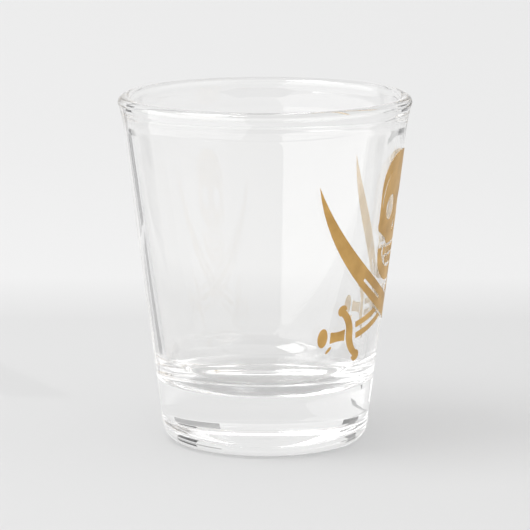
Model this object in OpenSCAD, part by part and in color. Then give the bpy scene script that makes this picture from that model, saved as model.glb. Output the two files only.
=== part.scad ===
// Shot glass: a thick-bottomed conical tumbler with a one-colour print of a
// skull over two crossed sabres on its outer wall.
//
// Frame: millimetres, +Z up. The origin is the centre of the foot, on the table.
// The print faces +X, turned by print_angle about the axis.
//
// The print is a film fused to the glass. Each island of ink is a node of its
// own. An island's outline is drawn in wall coordinates: u is the distance
// round the wall from the print's centre line, z is the height. The print is
// symmetric, except that one blade passes over the other.

/* [Glass] */

// Height of the glass
glass_height = 57; // [52:0.5:66]
// Largest diameter, over the rounded rim
rim_diameter = 48; // [46:0.5:54]
// Diameter that the outer cone would have on the table
foot_diameter = 33.2; // [30:0.2:36]
// Thickness of the rounded rim
rim_thickness = 2.4; // [1.8:0.1:3]
// Thickness of the wall at the cavity floor
wall_thickness = 1.8; // [1.4:0.1:3]
// Thickness of the wall just under the rim's bead
upper_thickness = 1.4; // [1:0.1:1.8]
// Height over which the wall thickens into the rim's bead
bead_height = 4.5; // [4:0.1:6]
// How far the rim flares out past the cone
rim_flare = 0.35; // [0.05:0.05:0.8]
// Height over which the rim flares
flare_height = 3.8; // [3:0.1:4]

/* [Foot] */

// Thickness of the solid glass under the cavity, at its edge
floor_thickness = 9.6; // [6:0.2:14]
// How much lower the cavity floor is at its centre
floor_dish = 0.8; // [0:0.1:1.5]
// Radius of the corner between the cavity's wall and its floor
cavity_corner = 6.5; // [3:0.5:7]
// Width of the rounded heel
heel_width = 2.4; // [1:0.1:3]
// Height of the rounded heel
heel_height = 3.8; // [1.5:0.1:5]
// Radius of the hollow under the foot
hollow_radius = 12.6; // [8:0.2:12.6]
// Depth of the hollow under the foot
hollow_depth = 1.4; // [0.2:0.1:2]

/* [Print] */

// Thickness of the ink film
ink = 0.06; // [0.05:0.01:0.1]
// Turn of the print about the glass, from +X towards +Y
print_angle = -12; // [-180:1:180]
// Clear gap where one blade passes over the other
crossing_gap = 0.5; // [0.3:0.1:0.8]
// Width of a blade at its widest
blade_width = 3.4; // [2:0.1:3.4]
// Radius of a sabre's curve
blade_radius = 50; // [48:1:52]

/* [Hidden] */

$fn = 180;

// ---- glass ---------------------------------------------------------------

rim_round = rim_thickness / 2;
rim_centre = [rim_diameter / 2 - rim_round, glass_height - rim_round];
cone_slope = (rim_diameter / 2 - rim_flare - foot_diameter / 2) / rim_centre[1];

// Radius of the plain outer cone at height z.
function cone_radius(z) = foot_diameter / 2 + cone_slope * z;

// Points of a circular arc.
function arc(centre, radius, from, to, steps) = [
    for (i = [0 : steps])
        let (a = from + (to - from) * i / steps)
        centre + radius * [cos(a), sin(a)]
];

// The shallow hollow under the foot, from the axis to its edge.
function hollow_curve(steps = 6) = [
    for (i = [0 : steps])
        let (t = i / steps)
        [hollow_radius * t, hollow_depth * (1 - t * t)]
];

// The foot's outer corner: a quarter ellipse from the table up to the cone.
function heel_curve(steps = 8) = [
    for (i = [0 : steps])
        let (a = 90 * i / steps)
        [cone_radius(heel_height) - heel_width * (1 - sin(a)), heel_height * (1 - cos(a))]
];

// The outer face bends outwards just under the rim.
function flare_curve(steps = 5) = [
    for (i = [0 : steps])
        let (t = i / steps, z = rim_centre[1] - flare_height * (1 - t))
        [cone_radius(z) + rim_flare * t * t, z]
];

// The inner face of the rim's bead, from the rim down to the plain wall.
bead_low = rim_centre[1] - bead_height;
function bead_curve(steps = 6) = [
    for (i = [1 : steps])
        let (
            t = 1 - i / steps,
            z = bead_low + bead_height * t,
            flared = max(0, 1 - (rim_centre[1] - z) / flare_height),
            wall = upper_thickness + (rim_thickness - upper_thickness) * t * t
        )
        [cone_radius(z) + rim_flare * flared * flared - wall, z]
];

// The cavity's plain wall runs from the bead down to a round corner.
inner_foot = cone_radius(floor_thickness) - wall_thickness;
inner_slope = (cone_radius(bead_low) - upper_thickness - inner_foot)
    / (bead_low - floor_thickness);
inner_lean = atan(inner_slope);
corner_centre = [
    inner_foot + inner_slope * cavity_corner - cavity_corner / cos(inner_lean),
    floor_thickness + cavity_corner
];

// The cavity's floor, from its edge to the axis.
function floor_curve(steps = 5) = [
    for (i = [1 : steps])
        let (t = 1 - i / steps)
        [corner_centre[0] * t, floor_thickness - floor_dish * (1 - t * t)]
];

module glass_body() {
    color([0.93, 0.95, 0.94, 0.35])
    rotate_extrude()
    polygon(concat(
        hollow_curve(),
        heel_curve(),
        flare_curve(),
        arc(rim_centre, rim_round, 15, 180, 10),
        bead_curve(),
        arc(corner_centre, cavity_corner, -inner_lean, -90, 8),
        floor_curve()
    ));
}

// ---- ink film ------------------------------------------------------------

ink_colour = [0.75, 0.57, 0.29];

// Heights between which ink may lie, all on the plain cone.
band_low = 12;
band_high = 51.9;

// A thin conical shell that lies on the glass.
module film() {
    rotate_extrude()
    polygon([
        [cone_radius(band_low), band_low],
        [cone_radius(band_low) + ink, band_low],
        [cone_radius(band_high) + ink, band_high],
        [cone_radius(band_high), band_high]
    ]);
}

// A wall point as seen along the radius at the aim angle.
function on_plane(p, aim) = [
    cone_radius(p[1]) * sin(p[0] / cone_radius(p[1]) * 180 / PI - aim),
    p[1]
];

// Pushes an outline through the wall, along the radius at the aim angle.
module stamp(outline, aim) {
    rotate([0, 0, print_angle + aim])
    rotate([90, 0, 90])
    translate([0, 0, foot_diameter / 4])
    linear_extrude(rim_diameter / 2)
    polygon([for (p = outline) on_plane(p, aim)]);
}

// The film inside an outline.
module island(outline, aim = 0) {
    color(ink_colour)
    intersection() {
        film();
        stamp(outline, aim);
    }
}

function reversed(list) = [for (i = [len(list) - 1 : -1 : 0]) list[i]];

// The outline's mirror image where side is -1.
function sided(outline, side) = [for (p = outline) [side * p[0], p[1]]];

// A whole outline from its right half, listed from the top down.
function both_sides(half) = concat(half, reversed(sided(half, -1)));

function ellipse(centre, size, turn = 0, steps = 20) = [
    for (i = [0 : steps - 1])
        let (a = 360 * i / steps, x = size[0] * cos(a), y = size[1] * sin(a))
        centre + [x * cos(turn) - y * sin(turn), x * sin(turn) + y * cos(turn)]
];

// ---- skull ---------------------------------------------------------------

dome_centre = [0, 42.9];
dome_size = [7.3, 5.8];
dome_squareness = 0.84;
cheek_centre = [5.8, 37.1];
cheek_round = 1.3;
upper_jaw = [3, 33.6];

eye_centre = [3.3, 39.7];
eye_size = [1.75, 2.1];
eye_turn = 8;
nose_centre = [0, 36.6];
nose_size = [1, 1.4];

// A curved slit near the edge of the dome, like a highlight.
shine_centre = [0, 41];
shine_radius = 6.5;
shine_width = 0.45;
shine_from = -18;
shine_to = 50;

// A quarter of the dome is an ellipse with squarer shoulders.
function dome_edge(a) = dome_centre + [
    dome_size[0] * pow(cos(a), dome_squareness),
    dome_size[1] * pow(sin(a), dome_squareness)
];

function cranium_half() = concat(
    [for (a = [90 : -9 : 0]) dome_edge(a)],
    arc(cheek_centre, cheek_round, 25, -75, 5),
    [upper_jaw + [0.8, 1], upper_jaw]
);

function nose() = both_sides([
    nose_centre + [0, nose_size[1]],
    nose_centre + [nose_size[0], -0.6 * nose_size[1]],
    nose_centre + [0.6 * nose_size[0], -nose_size[1]],
    nose_centre + [0, -0.5 * nose_size[1]]
]);

// The slit is widest in its middle and comes to a point at both ends.
function shine_edge(direction, steps = 8) = [
    for (i = [0 : steps])
        let (
            a = shine_from + (shine_to - shine_from) * i / steps,
            w = direction * shine_width / 2 * sin(180 * i / steps)
        )
        shine_centre + (shine_radius + w) * [cos(a), sin(a)]
];

function shine() = concat(
    shine_edge(1),
    [for (i = [7 : -1 : 1]) shine_edge(-1)[i]]
);

module skull_cranium() {
    color(ink_colour)
    difference() {
        island(both_sides(cranium_half()));
        stamp(nose(), 0);
        for (side = [-1, 1]) {
            stamp(sided(ellipse(eye_centre, eye_size, eye_turn), side), 0);
            stamp(sided(shine(), side), 0);
        }
    }
}

tooth_size = [1, 1.3];
tooth_pitch = 1.4;
upper_teeth_height = 32.45;
lower_teeth_height = 30.8;

// A tooth has its four corners cut.
function tooth(centre, cut = 0.3) = [
    for (q = [[1, 1], [-1, 1], [-1, -1], [1, -1]], k = [0, 1])
        let (first = (q[0] * q[1] > 0) == (k == 0))
        centre + [
            q[0] * (tooth_size[0] / 2 - (first ? 0 : cut)),
            q[1] * (tooth_size[1] / 2 - (first ? cut : 0))
        ]
];

module teeth(count, height) {
    for (i = [0 : count - 1])
        island(tooth([(i - (count - 1) / 2) * tooth_pitch, height]));
}

module skull_upper_teeth() {
    teeth(6, upper_teeth_height);
}

module skull_lower_teeth() {
    teeth(4, lower_teeth_height);
}

jaw_centre = [0, 33.2];
jaw_outer = [6.1, 6];
jaw_inner = [4.9, 3.8];

module skull_jaw() {
    island(concat(
        [for (a = [0 : -10 : -180])
            jaw_centre + [jaw_outer[0] * cos(a), jaw_outer[1] * sin(a)]],
        [for (a = [180 : 10 : 360])
            jaw_centre + [jaw_inner[0] * cos(a), jaw_inner[1] * sin(a)]]
    ));
}

// ---- sabres --------------------------------------------------------------
// A sabre's centre line is an arc. Its hilt lies on one side of the print and
// its tip on the other. Places along it are angles on that arc, from 0 at the
// crossing towards the tip. The offset is positive on the cutting edge.

crossing_height = 23.6;
crossing_slope = 24.5;
blade_tip = 35.5;
edge_share = 0.6;
blade_taper = 2.6;
blade_aim = 36;
hilt_aim = 40;

arc_centre = [
    -blade_radius * sin(crossing_slope),
    crossing_height + blade_radius * cos(crossing_slope)
];

function on_sabre(along, offset) = arc_centre
    + (blade_radius + offset) * [sin(crossing_slope + along), -cos(crossing_slope + along)];

// Blade outline from one angle to the tip, with its edges widened by spare.
// The cutting edge sweeps up to meet the back at the tip.
function blade(from, spare = 0, steps = 16) = concat(
    [for (i = [0 : steps])
        let (t = i / steps)
        on_sabre(
            from + (blade_tip - from) * t,
            blade_width * (edge_share - pow(t, blade_taper)) + spare
        )],
    [for (i = [steps - 1 : -1 : 0])
        on_sabre(
            from + (blade_tip - from) * i / steps,
            -blade_width * (1 - edge_share) - spare
        )]
);

// A strip of even width that follows the blade and is cut square.
function strip(from, to, offset, width, steps = 6) = concat(
    [for (i = [0 : steps]) on_sabre(from + (to - from) * i / steps, offset + width / 2)],
    [for (i = [steps : -1 : 0]) on_sabre(from + (to - from) * i / steps, offset - width / 2)]
);

fuller_width = 0.5;
fuller_from = 3.5;
fuller_to = 12;
fuller_offset = blade_width * (edge_share - 0.5);
over_blade_start = -5;
root_start = -11.6;
root_width = 1;
root_offset = 0.95;

// The under sabre's tip is at +u, the over sabre's tip is at -u.
over = -1;
under = 1;

module fuller(side) {
    stamp(sided(strip(fuller_from, fuller_to, fuller_offset, fuller_width), side), side * blade_aim);
}

// Clears the other sabre away from round the over sabre's blade.
module crossing_clearance() {
    stamp(sided(blade(over_blade_start, crossing_gap), over), 0);
}

module over_sabre_blade() {
    color(ink_colour)
    difference() {
        island(sided(blade(over_blade_start), over), over * blade_aim);
        fuller(over);
    }
}

module under_sabre_blade() {
    color(ink_colour)
    difference() {
        island(sided(blade(0), under), under * blade_aim);
        fuller(under);
        crossing_clearance();
    }
}

// Two strips that carry the blade on to the guard, with the fuller between.
module root_strips(side, to) {
    for (half = [-1, 1])
        island(
            sided(strip(root_start, to, half * root_offset, root_width), side),
            -side * hilt_aim / 2
        );
}

module over_sabre_root() {
    root_strips(over, over_blade_start - 0.7);
}

module under_sabre_root() {
    color(ink_colour)
    difference() {
        root_strips(under, 0);
        crossing_clearance();
    }
}

// ---- hilts ---------------------------------------------------------------
// Hilt coordinates: x runs from the pommel to the guard and y runs up, both
// from the middle of the guard and tilted by the hilt's lean.

guard_place = -13.3;
hilt_lean = 4;
quillon_radius = 4.8;
quillon_sweep = 50;
quillon_middle = 1.5;
quillon_end = 1.1;
quillon_ball = 0.95;

grip_centre = [-2.5, -0.1];
grip_size = [2.9, 1.9];
grip_waist = 0.15;
pommel_centre = [-5.4, 0.1];
pommel_size = [0.9, 1.6];
drop_centre = [-4.1, -2.1];
drop_size = [0.25, 0.7];
drop_turn = -43;

function on_hilt(p) = on_sabre(guard_place, 0) + [
    p[0] * cos(hilt_lean) - p[1] * sin(hilt_lean),
    p[0] * sin(hilt_lean) + p[1] * cos(hilt_lean)
];

module hilt_island(outline, side) {
    island(sided([for (p = outline) on_hilt(p)], side), -side * hilt_aim);
}

// Upper quillon: one edge of the bar, bending towards the pommel.
function quillon_edge(direction, steps = 6) = [
    for (i = [0 : steps])
        let (
            a = quillon_sweep * i / steps,
            w = quillon_middle + (quillon_end - quillon_middle) * i / steps,
            r = quillon_radius + direction * w / 2
        )
        [r * cos(a) - quillon_radius, r * sin(a)]
];

quillon_tip = quillon_radius * [cos(quillon_sweep) - 1, sin(quillon_sweep)];

// The upper quillon and its round end. The guard is this shape and the same
// shape turned half a turn.
function quillon() = concat(
    quillon_edge(1),
    arc(quillon_tip + [-0.2, 0.4], quillon_ball, quillon_sweep - 40, quillon_sweep + 200, 8),
    [for (i = [6 : -1 : 1]) quillon_edge(-1)[i]]
);

function guard() = concat(quillon(), -1 * quillon());

function grip(steps = 6) = concat(
    [for (i = [0 : steps]) grip_edge(i / steps, 1)],
    [for (i = [steps : -1 : 0]) grip_edge(i / steps, -1)]
);

function grip_edge(t, side) = grip_centre + [
    grip_size[0] * (t - 0.5),
    side * (grip_size[1] / 2 - grip_waist * sin(180 * t))
];

module over_sabre_guard() {
    hilt_island(guard(), over);
}

module under_sabre_guard() {
    hilt_island(guard(), under);
}

module over_sabre_grip() {
    hilt_island(grip(), over);
}

module under_sabre_grip() {
    hilt_island(grip(), under);
}

module over_sabre_pommel() {
    hilt_island(ellipse(pommel_centre, pommel_size), over);
}

module under_sabre_pommel() {
    hilt_island(ellipse(pommel_centre, pommel_size), under);
}

module over_sabre_drop() {
    hilt_island(ellipse(drop_centre, drop_size, drop_turn, 12), over);
}

module under_sabre_drop() {
    hilt_island(ellipse(drop_centre, drop_size, drop_turn, 12), under);
}

// ---- nodes ---------------------------------------------------------------

glass_body();
skull_cranium();
skull_upper_teeth();
skull_lower_teeth();
skull_jaw();
over_sabre_blade();
over_sabre_root();
over_sabre_guard();
over_sabre_grip();
over_sabre_pommel();
over_sabre_drop();
under_sabre_blade();
under_sabre_root();
under_sabre_guard();
under_sabre_grip();
under_sabre_pommel();
under_sabre_drop();
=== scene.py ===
"""Looks of a printed shot glass on a pale studio floor.

The CAD ink films stay and get an ink material. The CAD glass is replaced by a
finely turned body of the same section, so that it refracts smoothly. Lengths
are in metres, except in the glass's section, which is in millimetres.
"""

import math

import bpy
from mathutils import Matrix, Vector


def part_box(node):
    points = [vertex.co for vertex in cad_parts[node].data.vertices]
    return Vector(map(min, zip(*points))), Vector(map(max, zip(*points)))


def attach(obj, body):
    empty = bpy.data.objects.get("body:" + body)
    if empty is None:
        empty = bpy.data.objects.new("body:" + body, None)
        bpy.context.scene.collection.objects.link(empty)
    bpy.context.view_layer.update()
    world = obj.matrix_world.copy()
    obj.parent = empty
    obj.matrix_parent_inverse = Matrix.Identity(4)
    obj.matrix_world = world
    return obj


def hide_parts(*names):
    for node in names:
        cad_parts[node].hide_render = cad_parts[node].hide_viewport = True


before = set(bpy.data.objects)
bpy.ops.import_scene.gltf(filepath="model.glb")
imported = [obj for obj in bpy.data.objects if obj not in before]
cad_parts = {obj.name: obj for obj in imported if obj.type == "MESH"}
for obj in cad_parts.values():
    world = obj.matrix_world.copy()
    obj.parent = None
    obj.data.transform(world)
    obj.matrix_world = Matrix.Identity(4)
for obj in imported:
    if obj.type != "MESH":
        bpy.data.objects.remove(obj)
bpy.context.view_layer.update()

MM = 0.001

# ---- the glass's section, in millimetres, as in the CAD part ---------------

glass_low, glass_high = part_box("glass_body")
HEIGHT = glass_high[2] / MM
RIM_RADIUS = glass_high[0] / MM
FOOT_RADIUS = 16.6        # of the outer cone, carried down to the table
RIM_ROUND = 1.2
RIM = 2 * RIM_ROUND
WALL = 1.8                # at the cavity floor
UPPER_WALL = 1.4          # just under the rim's bead
BEAD_HEIGHT = 4.5
FLARE = 0.35
FLARE_HEIGHT = 3.8
FLOOR = 9.6               # solid glass under the edge of the cavity floor
DISH = 0.8
CORNER = 6.5
HEEL_WIDTH = 2.4
HEEL_HEIGHT = 3.8
HOLLOW_RADIUS = 12.6
HOLLOW_DEPTH = 1.4
INK_GAP = 0.01            # the wall stands this much back from the ink's inner face
GAP_EASE = 1 / 8          # share of the wall's height over which that gap opens and closes
TURNS = 320               # points round the glass

RIM_X = RIM_RADIUS - RIM_ROUND
RIM_Z = HEIGHT - RIM_ROUND
SLOPE = (RIM_RADIUS - FLARE - FOOT_RADIUS) / RIM_Z


def cone(z):
    """Radius of the plain outer wall at height z."""
    return FOOT_RADIUS + SLOPE * z


def curve(steps, point):
    """Points along a parameter that runs from 0 to 1."""
    return [point(i / steps) for i in range(steps + 1)]


def arc(centre, radius, start, end, steps):
    """Points of a circular arc between two angles in degrees."""
    def point(t):
        angle = math.radians(start + (end - start) * t)
        return centre[0] + radius * math.cos(angle), centre[1] + radius * math.sin(angle)

    return curve(steps, point)


def hollow(t):
    """The shallow hollow under the foot, from the axis to its edge."""
    return HOLLOW_RADIUS * t, HOLLOW_DEPTH * (1 - t * t)


def heel(t):
    """The foot's outer corner: a quarter ellipse from the table up to the cone."""
    angle = math.pi / 2 * t
    return (cone(HEEL_HEIGHT) - HEEL_WIDTH * (1 - math.sin(angle)),
            HEEL_HEIGHT * (1 - math.cos(angle)))


def flare(t):
    """The outer face, which bends outwards just under the rim."""
    z = RIM_Z - FLARE_HEIGHT * (1 - t)
    return cone(z) + FLARE * t * t, z


def bead(t):
    """The inner face of the rim's bead, from the rim (t = 0) down to the plain wall."""
    up = 1 - t
    z = RIM_Z - BEAD_HEIGHT * t
    flared = max(0, 1 - (RIM_Z - z) / FLARE_HEIGHT)
    wall = UPPER_WALL + (RIM - UPPER_WALL) * up * up
    return cone(z) + FLARE * flared * flared - wall, z


def glass_section():
    """The closed half section, from the axis under the foot to the axis in the cup."""
    bead_low = RIM_Z - BEAD_HEIGHT
    inner_foot = cone(FLOOR) - WALL
    inner_slope = (cone(bead_low) - UPPER_WALL - inner_foot) / (bead_low - FLOOR)
    lean = math.degrees(math.atan(inner_slope))
    corner_x = inner_foot + inner_slope * CORNER - CORNER / math.cos(math.radians(lean))

    def wall(t):
        z = HEEL_HEIGHT + (RIM_Z - FLARE_HEIGHT - HEEL_HEIGHT) * t
        return cone(z) - INK_GAP * min(1, t / GAP_EASE, (1 - t) / GAP_EASE), z

    def floor(t):
        return corner_x * (1 - t), FLOOR - DISH * (1 - (1 - t) ** 2)

    return (curve(16, hollow) + curve(24, heel)[:-1] + curve(40, wall)[:-1]
            + curve(12, flare)[:-1]
            + arc((RIM_X, RIM_Z), RIM_ROUND, 0, 180, 40)
            + curve(16, bead)[1:]
            + arc((corner_x, FLOOR + CORNER), CORNER, -lean, -90, 30)
            + curve(16, floor)[1:])


def turned(name, section):
    """A closed surface of revolution about Z; the section's ends lie on the axis."""
    rings = section[1:-1]
    points = [(0, 0, section[0][1] * MM), (0, 0, section[-1][1] * MM)]
    for radius, z in rings:
        for k in range(TURNS):
            angle = 2 * math.pi * k / TURNS
            points.append((radius * math.cos(angle) * MM, radius * math.sin(angle) * MM,
                           z * MM))
    faces = []
    last = 2 + (len(rings) - 1) * TURNS
    for k in range(TURNS):
        after = (k + 1) % TURNS
        faces.append((0, 2 + after, 2 + k))
        faces.append((1, last + k, last + after))
        for i in range(len(rings) - 1):
            base = 2 + i * TURNS
            faces.append((base + k, base + after, base + TURNS + after, base + TURNS + k))
    mesh = bpy.data.meshes.new(name)
    mesh.from_pydata(points, [], faces)
    mesh.update()
    for face in mesh.polygons:
        face.use_smooth = True
    piece = bpy.data.objects.new(name, mesh)
    bpy.context.scene.collection.objects.link(piece)
    return piece


# ---- materials --------------------------------------------------------------

def material(name):
    """A new node material, and helpers that add and join its nodes."""
    made = bpy.data.materials.new(name)
    made.use_nodes = True
    nodes = made.node_tree.nodes
    links = made.node_tree.links

    def add(kind, **values):
        node = nodes.new(kind)
        for key, value in values.items():
            if hasattr(node, key):
                setattr(node, key, value)
            else:
                node.inputs[key.replace("_", " ")].default_value = value
        return node

    return made, nodes["Principled BSDF"], add, links.new


def clear_glass():
    made, shader, add, join = material("clear_glass")
    shader.inputs["Base Color"].default_value = (0.998, 0.997, 0.994, 1)
    shader.inputs["Roughness"].default_value = 0.0
    shader.inputs["IOR"].default_value = 1.5
    shader.inputs["Transmission Weight"].default_value = 1
    place = add("ShaderNodeTexCoord")
    waves = add("ShaderNodeTexNoise", Scale=70.0, Detail=1.0, Roughness=0.4)
    bump = add("ShaderNodeBump", Strength=0.02, Distance=0.0002)
    join(place.outputs["Object"], waves.inputs["Vector"])
    join(waves.outputs["Fac"], bump.inputs["Height"])
    join(bump.outputs["Normal"], shader.inputs["Normal"])
    return made


def two_tone(add, dark, pale):
    """A colour ramp from a dark tone to a pale one, for cloudy noise."""
    ramp = add("ShaderNodeValToRGB")
    for element, position, tone in zip(ramp.color_ramp.elements, (0.3, 0.75), (dark, pale)):
        element.position = position
        element.color = (*tone, 1)
    return ramp


def gold_ink():
    made, shader, add, join = material("gold_ink")
    place = add("ShaderNodeTexCoord")
    cloud = add("ShaderNodeTexNoise", Scale=260.0, Detail=3.0)
    grain = add("ShaderNodeTexNoise", Scale=5200.0, Detail=2.0)
    ochre = two_tone(add, (0.44, 0.245, 0.058), (0.66, 0.40, 0.125))
    join(place.outputs["Object"], cloud.inputs["Vector"])
    join(place.outputs["Object"], grain.inputs["Vector"])
    join(cloud.outputs["Fac"], ochre.inputs["Fac"])

    # The inner face, seen through the glass, is paler. This is partly the film's pale
    # undercoat and partly painted light: its pale tones stand in for reflections off the
    # inner wall and for light coming through the thin ink.
    facing = add("ShaderNodeNewGeometry")
    flat = add("ShaderNodeVectorMath", operation="MULTIPLY")
    flat.inputs[1].default_value = (1, 1, 0)
    outward = add("ShaderNodeVectorMath", operation="NORMALIZE")
    turn = add("ShaderNodeVectorMath", operation="DOT_PRODUCT")
    inner = add("ShaderNodeMath", operation="LESS_THAN")
    inner.inputs[1].default_value = -0.5
    undercoat_and_painted_light = two_tone(add, (0.82, 0.65, 0.43), (0.88, 0.73, 0.52))
    coat = add("ShaderNodeMix", data_type="RGBA")
    join(place.outputs["Object"], flat.inputs[0])
    join(flat.outputs["Vector"], outward.inputs[0])
    join(outward.outputs["Vector"], turn.inputs[0])
    join(facing.outputs["True Normal"], turn.inputs[1])
    join(turn.outputs["Value"], inner.inputs[0])
    join(cloud.outputs["Fac"], undercoat_and_painted_light.inputs["Fac"])
    join(inner.outputs["Value"], coat.inputs["Factor"])
    join(ochre.outputs["Color"], coat.inputs["A"])
    join(undercoat_and_painted_light.outputs["Color"], coat.inputs["B"])
    join(coat.outputs["Result"], shader.inputs["Base Color"])
    shine = add("ShaderNodeMapRange", From_Min=0.3, From_Max=0.7, To_Min=0.38, To_Max=0.5)
    join(grain.outputs["Fac"], shine.inputs["Value"])
    join(shine.outputs["Result"], shader.inputs["Roughness"])
    bump = add("ShaderNodeBump", Strength=0.25, Distance=0.00002)
    join(grain.outputs["Fac"], bump.inputs["Height"])
    join(bump.outputs["Normal"], shader.inputs["Normal"])
    return made


def paper(name, shade, glow=0.0, far_glow=None):
    """Matt paper. Its glow lightens the shadows, and may be stronger behind the glass."""
    made, shader, add, join = material(name)
    shader.inputs["Base Color"].default_value = (shade, shade, shade, 1)
    shader.inputs["Roughness"].default_value = 0.9
    shader.inputs["Emission Color"].default_value = (1, 1, 1, 1)
    shader.inputs["Emission Strength"].default_value = glow
    if far_glow is not None:
        place = add("ShaderNodeTexCoord")
        split = add("ShaderNodeSeparateXYZ")
        rise = add("ShaderNodeMapRange", From_Min=GLOW_RISE[0], From_Max=GLOW_RISE[1],
                   To_Min=glow, To_Max=far_glow)
        join(place.outputs["Object"], split.inputs["Vector"])
        join(split.outputs["Y"], rise.inputs["Value"])
        join(rise.outputs["Result"], shader.inputs["Emission Strength"])
    return made


# ---- the object -------------------------------------------------------------

body = turned("turned_glass_body", glass_section())
body.data.materials.append(clear_glass())
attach(body, "root")
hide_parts("glass_body")

ink = gold_ink()
for node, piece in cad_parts.items():
    if node != "glass_body":
        for slot in piece.material_slots:
            slot.material = ink

# ---- studio -----------------------------------------------------------------

GLOW_RISE = (0.10, 0.145)     # y between which the far paper's glow grows, behind the glass
SKY_RISE = (0.25, 0.60)       # sines of the elevations between which the sky brightens
STRIP_HEIGHT = 0.0005         # of a strip that lies on the floor


def staged(name, points, faces, finish, seen=True):
    """A surface that isn't part of the object.

    An unseen one shows only in refraction and reflection, and it blocks no light.
    """
    mesh = bpy.data.meshes.new(name)
    mesh.from_pydata(points, [], faces)
    mesh.update()
    for face in mesh.polygons:
        face.use_smooth = True
    mesh.materials.append(finish)
    thing = bpy.data.objects.new(name, mesh)
    bpy.context.scene.collection.objects.link(thing)
    thing.visible_camera = seen
    thing.visible_diffuse = seen
    thing.visible_shadow = seen


def cove():
    """A floor that sweeps up into a backdrop behind the glass."""
    reach = 1.6       # of the floor to each side and to the front
    start = 0.30      # distance behind the glass at which the floor begins to rise
    radius = 0.45
    steps = 12
    top = 1.6
    drop = 0.0001     # of the floor below the foot, so that the two don't coincide
    line = [(-reach, -drop), (start, -drop)]
    line += [(start + radius * math.sin(a), radius * (1 - math.cos(a)) - drop)
             for a in (math.pi / 2 * i / steps for i in range(1, steps + 1))]
    line.append((start + radius, top))
    points = [(x, y, z) for y, z in line for x in (-reach, reach)]
    faces = [(2 * i, 2 * i + 1, 2 * i + 3, 2 * i + 2) for i in range(len(line) - 1)]
    staged("cove", points, faces, paper("cove_paper", 0.20, 0.40, 0.505))


def toward(bearing, distance):
    """A floor point at a bearing in degrees, from +Y behind the glass towards +X."""
    angle = math.radians(bearing)
    return distance * math.sin(angle), distance * math.cos(angle)


def flag(name, bearings, distance, heights, finish):
    """An upright, unseen card behind the glass."""
    left, right = [toward(bearing, distance) for bearing in bearings]
    low, top = heights
    points = [(*left, low), (*right, low), (*right, top), (*left, top)]
    staged(name, points, [(0, 1, 2, 3)], finish, seen=False)


def canopy(name, low, high, z, finish):
    """A level, unseen card above and in front of the glass."""
    points = [(low[0], low[1], z), (low[0], high[1], z),
              (high[0], high[1], z), (high[0], low[1], z)]
    staged(name, points, [(0, 1, 2, 3)], finish, seen=False)


def runner(name, near, far, near_width, far_width, finish):
    """An unseen strip that lies on the floor."""
    points = [(near[0] - near_width / 2, near[1], STRIP_HEIGHT),
              (near[0] + near_width / 2, near[1], STRIP_HEIGHT),
              (far[0] + far_width / 2, far[1], STRIP_HEIGHT),
              (far[0] - far_width / 2, far[1], STRIP_HEIGHT)]
    staged(name, points, [(0, 1, 2, 3)], finish, seen=False)


def softbox(name, place, size, power, aim=(0, 0, 0.03)):
    """A rectangular light that faces the middle of the glass."""
    light = bpy.data.lights.new(name, "AREA")
    light.shape = "RECTANGLE"
    light.size, light.size_y = size
    light.energy = power
    lamp = bpy.data.objects.new(name, light)
    bpy.context.scene.collection.objects.link(lamp)
    lamp.location = place
    lamp.rotation_euler = (Vector(aim) - Vector(place)).to_track_quat("-Z", "Y").to_euler()


cove()
black = paper("black_card", 0.03)
grey = paper("grey_card", 0.20)
slate = paper("slate_card", 0.30)
flag("foot_flag_left", (-50, -34), 0.30, (0.001, 0.047), grey)
flag("foot_flag_right", (16, 46), 0.30, (0.001, 0.047), slate)
flag("rim_flag_left", (-50, -38), 0.18, (0.040, 0.058), black)
flag("rim_flag_right", (28, 44), 0.18, (0.034, 0.058), black)
flag("wall_flag_left", (-44, -36), 0.113, (0.010, 0.034), slate)
runner("runner_left", (-0.039, 0.030), (-0.084, 0.108), 0.011, 0.018, grey)
canopy("front_canopy", (-0.20, -0.65), (0.30, -0.20), 0.45, slate)
softbox("key", (-0.30, -0.10, 0.60), (0.35, 0.35), 2.6)
softbox("window", (-0.60, -0.30, 0.30), (1.53, 0.60), 3.7)


def soft_sky(level, overhead):
    """White light that is stronger from overhead than from the sides."""
    world = bpy.data.worlds.new("studio")
    world.use_nodes = True
    tree = world.node_tree
    direction = tree.nodes.new("ShaderNodeTexCoord")
    split = tree.nodes.new("ShaderNodeSeparateXYZ")
    rise = tree.nodes.new("ShaderNodeMapRange")
    rise.inputs["From Min"].default_value = SKY_RISE[0]
    rise.inputs["From Max"].default_value = SKY_RISE[1]
    rise.inputs["To Min"].default_value = level
    rise.inputs["To Max"].default_value = overhead
    background = tree.nodes["Background"]
    background.inputs["Color"].default_value = (1, 1, 1, 1)
    tree.links.new(direction.outputs["Generated"], split.inputs["Vector"])
    tree.links.new(split.outputs["Z"], rise.inputs["Value"])
    tree.links.new(rise.outputs["Result"], background.inputs["Strength"])
    bpy.context.scene.world = world


soft_sky(0.88, 1.35)
bpy.context.scene.view_settings.view_transform = "Standard"

# Light runs round inside thick glass many times before it leaves.
GLASS_BOUNCES = 128
PAPER_BOUNCES = 8
paths = bpy.context.scene.cycles
paths.max_bounces = GLASS_BOUNCES
paths.glossy_bounces = GLASS_BOUNCES
paths.transmission_bounces = GLASS_BOUNCES
paths.diffuse_bounces = PAPER_BOUNCES

# ---- camera -----------------------------------------------------------------

CAMERA_BACK = 0.560
CAMERA_HEIGHT = 0.130
CAMERA_PITCH = 10.25
LENS = 235.3

camera = bpy.data.cameras.new("camera")
camera.sensor_width = 36
camera.lens = LENS
camera.clip_start = 0.01
viewer = bpy.data.objects.new("camera", camera)
viewer.location = (0, -CAMERA_BACK, CAMERA_HEIGHT)
viewer.rotation_euler = (math.radians(90 - CAMERA_PITCH), 0, 0)
bpy.context.scene.collection.objects.link(viewer)
bpy.context.scene.camera = viewer
